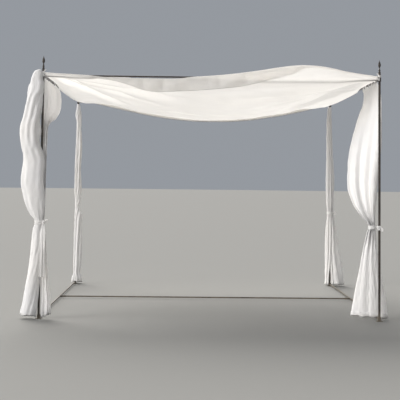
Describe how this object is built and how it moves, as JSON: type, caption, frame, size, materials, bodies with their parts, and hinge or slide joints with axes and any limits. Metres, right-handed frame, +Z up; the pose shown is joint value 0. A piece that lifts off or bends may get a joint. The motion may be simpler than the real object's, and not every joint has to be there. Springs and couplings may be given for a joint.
{
  "type": "metal gazebo",
  "caption": "Square garden gazebo: an open frame of slim dark metal tubes with spear finials, a sagging white cloth roof and white curtains tied to its posts.",
  "frame": {"origin": "on the ground, in the middle between the four posts", "axes": "+Z up; the open front, where the taller curtains hang, faces -Y; +X to the right seen from the front"},
  "size_m": [3.9726, 3.6486, 2.7103],
  "materials": {
    "frame_metal": "dark brown-black paint, satin, a little worn",
    "canopy_cloth": "thin white voile",
    "curtain_cloth": "thin white voile, gathered",
    "sash_cloth": "white sash"
  },
  "bodies": {
    "root": {"post_front_left": "frame_metal", "post_front_right": "frame_metal", "post_back_left": "frame_metal", "post_back_right": "frame_metal", "finial_front_left": "frame_metal", "finial_front_right": "frame_metal", "finial_back_left": "frame_metal", "finial_back_right": "frame_metal", "foot_plate_front_left": "frame_metal", "foot_plate_front_right": "frame_metal", "foot_plate_back_left": "frame_metal", "foot_plate_back_right": "frame_metal", "corner_socket_front_left": "frame_metal", "corner_socket_front_right": "frame_metal", "corner_socket_back_left": "frame_metal", "corner_socket_back_right": "frame_metal", "foot_socket_front_left": "frame_metal", "foot_socket_front_right": "frame_metal", "foot_socket_back_left": "frame_metal", "foot_socket_back_right": "frame_metal", "top_rail_front": "frame_metal", "top_rail_back": "frame_metal", "top_rail_left": "frame_metal", "top_rail_right": "frame_metal", "base_rail_left": "frame_metal", "base_rail_right": "frame_metal", "crossbar": "frame_metal", "crossbar_socket_left": "frame_metal", "crossbar_socket_right": "frame_metal", "canopy": "canopy_cloth", "canopy_tie_front_left": "sash_cloth", "canopy_tie_front_right": "sash_cloth", "canopy_tie_back_left": "sash_cloth", "canopy_tie_back_right": "sash_cloth", "curtain_front_left_outer": "curtain_cloth", "curtain_front_left_inner": "curtain_cloth", "curtain_front_right": "curtain_cloth", "curtain_back_left": "curtain_cloth", "curtain_back_right": "curtain_cloth", "curtain_tie_front_left": "sash_cloth", "curtain_tie_front_right": "sash_cloth", "curtain_tie_back_right": "sash_cloth"}
  },
  "joints": []
}
